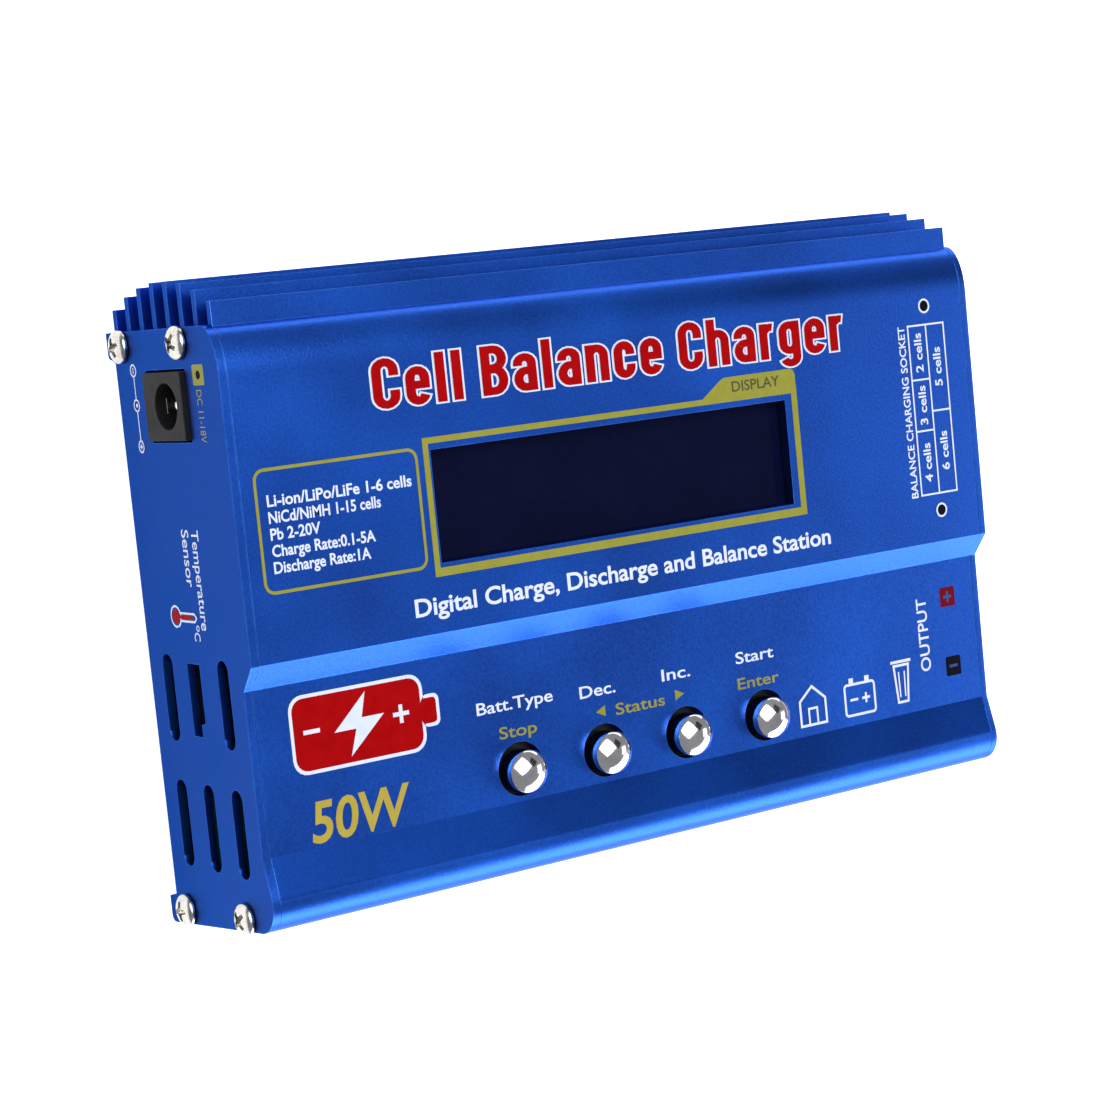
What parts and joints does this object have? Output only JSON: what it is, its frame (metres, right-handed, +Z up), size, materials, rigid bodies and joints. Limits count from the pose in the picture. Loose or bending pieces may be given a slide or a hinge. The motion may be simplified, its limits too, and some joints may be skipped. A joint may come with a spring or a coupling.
{
  "type": "balance battery charger",
  "caption": "Flat blue aluminium charger with stepped front panel, display window, push buttons, rear cooling fins and socket-bearing end plates.",
  "frame": {"origin": "centre of the footprint, on the table plane that the two rails under the case rest on", "axes": "+X along the case from the supply-input end to the output end, +Y towards the cooling fins, +Z up out of the front panel"},
  "size_m": [0.1361, 0.0908, 0.0329],
  "materials": {
    "blue_anodised": "satin blue anodised aluminium with a fine brushed and blasted grain",
    "screw_nickel": "bright nickel plated steel",
    "button_chrome": "polished chrome plating",
    "switch_plastic": "black glass-filled moulding",
    "circuit_board": "green solder resist on glass laminate",
    "bezel_steel": "black painted pressed steel",
    "display_glass": "dark blue liquid crystal cell",
    "window_acrylic": "dark tinted clear acrylic",
    "spacer_nylon": "natural nylon",
    "black_moulding": "black moulded plastic",
    "contact_nickel": "nickel plated brass",
    "white_moulding": "natural white nylon moulding",
    "red_moulding": "red moulded plastic",
    "black_gloss_moulding": "black moulded plastic",
    "sleeve_brass": "machined brass, gold flash",
    "insulator_film": "cream fish paper",
    "capacitor_sleeve": "dark blue heat-shrink sleeve",
    "coil_copper": "enamelled copper winding",
    "clamp_aluminium": "plain milled aluminium"
  },
  "bodies": {
    "case": {"balance_board": "circuit_board", "balance_header_2s": "white_moulding", "balance_header_3s": "white_moulding", "balance_header_4s": "white_moulding", "balance_header_5s": "white_moulding", "balance_header_6s": "white_moulding", "bottom_cover": "blue_anodised", "buzzer": "black_moulding", "capacitor_input": "capacitor_sleeve", "capacitor_output": "capacitor_sleeve", "controller_chip": "black_moulding", "dc_jack": "black_moulding", "dc_jack_pin": "contact_nickel", "display_bezel": "bezel_steel", "display_board": "circuit_board", "display_cell": "display_glass", "display_header": "black_moulding", "display_spacer_left": "spacer_nylon", "display_spacer_right": "spacer_nylon", "display_window": "window_acrylic", "end_plate_input": "blue_anodised", "end_plate_output": "blue_anodised", "end_screw_input_front_high": "screw_nickel", "end_screw_input_front_low": "screw_nickel", "end_screw_input_rear_high": "screw_nickel", "end_screw_input_rear_low": "screw_nickel", "end_screw_output_front_high": "screw_nickel", "end_screw_output_front_low": "screw_nickel", "end_screw_output_rear_high": "screw_nickel", "end_screw_output_rear_low": "screw_nickel", "inductor_input": "coil_copper", "inductor_output": "coil_copper", "insulator_sheet": "insulator_film", "keypad_board": "circuit_board", "keypad_spacer_left": "spacer_nylon", "keypad_spacer_right": "spacer_nylon", "main_board": "circuit_board", "output_sleeve_negative": "sleeve_brass", "output_sleeve_positive": "sleeve_brass", "output_socket_negative": "black_gloss_moulding", "output_socket_positive": "red_moulding", "sensor_header": "black_moulding", "switch_housing_dec": "switch_plastic", "switch_housing_inc": "switch_plastic", "switch_housing_start": "switch_plastic", "switch_housing_stop": "switch_plastic", "top_cover": "blue_anodised", "transistor_charge": "black_moulding", "transistor_clamp": "clamp_aluminium", "transistor_discharge": "black_moulding"},
    "button_stop": {"button_cap_stop": "button_chrome", "button_stem_stop": "switch_plastic"},
    "button_dec": {"button_cap_dec": "button_chrome", "button_stem_dec": "switch_plastic"},
    "button_inc": {"button_cap_inc": "button_chrome", "button_stem_inc": "switch_plastic"},
    "button_start": {"button_cap_start": "button_chrome", "button_stem_start": "switch_plastic"}
  },
  "joints": [
    {"name": "button_stop_press", "type": "slide", "parent": "case", "child": "button_stop", "axis": [0, 0, -1], "range_m": [0, 0.0003], "stiffness_N_per_m": 4000},
    {"name": "button_dec_press", "type": "slide", "parent": "case", "child": "button_dec", "axis": [0, 0, -1], "range_m": [0, 0.0003], "stiffness_N_per_m": 4000},
    {"name": "button_inc_press", "type": "slide", "parent": "case", "child": "button_inc", "axis": [0, 0, -1], "range_m": [0, 0.0003], "stiffness_N_per_m": 4000},
    {"name": "button_start_press", "type": "slide", "parent": "case", "child": "button_start", "axis": [0, 0, -1], "range_m": [0, 0.0003], "stiffness_N_per_m": 4000}
  ]
}
